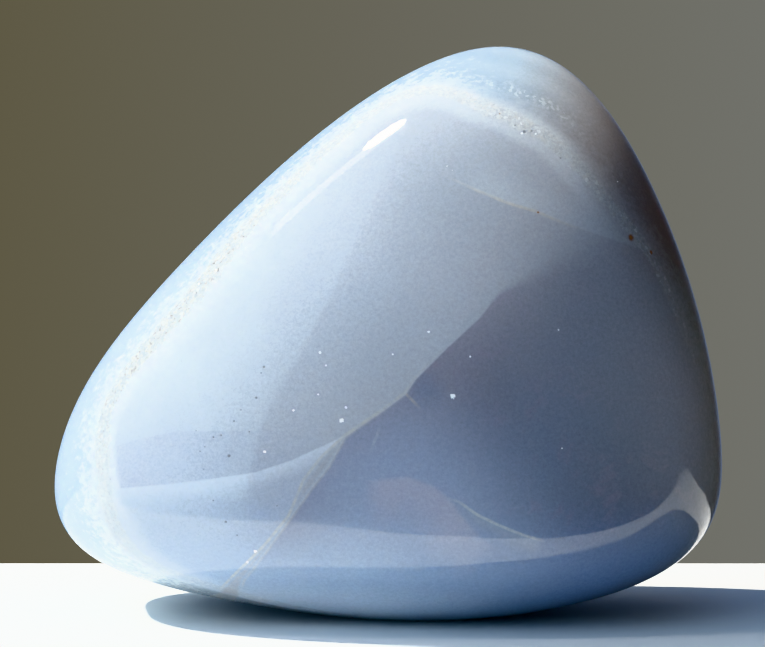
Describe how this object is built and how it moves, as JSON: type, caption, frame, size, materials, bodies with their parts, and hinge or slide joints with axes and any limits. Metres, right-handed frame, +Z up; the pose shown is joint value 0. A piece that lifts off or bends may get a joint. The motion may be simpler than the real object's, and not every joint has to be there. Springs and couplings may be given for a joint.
{
  "type": "tumbled chalcedony",
  "caption": "Tumbled and polished translucent blue-lavender chalcedony, a rounded three-cornered stone that stands on its long narrow edge.",
  "frame": {"origin": "middle of the stone's box in plan, at the level of the flat that it stands on", "axes": "+X along the stone's longest extent, towards its blunter corner; +Y along its shortest extent, from the broad front to the back; +Z up"},
  "size_m": [0.0426, 0.0228, 0.0357],
  "materials": {
    "polished_chalcedony": "polished"
  },
  "bodies": {
    "root": {"chalcedony": "polished_chalcedony"}
  },
  "joints": []
}
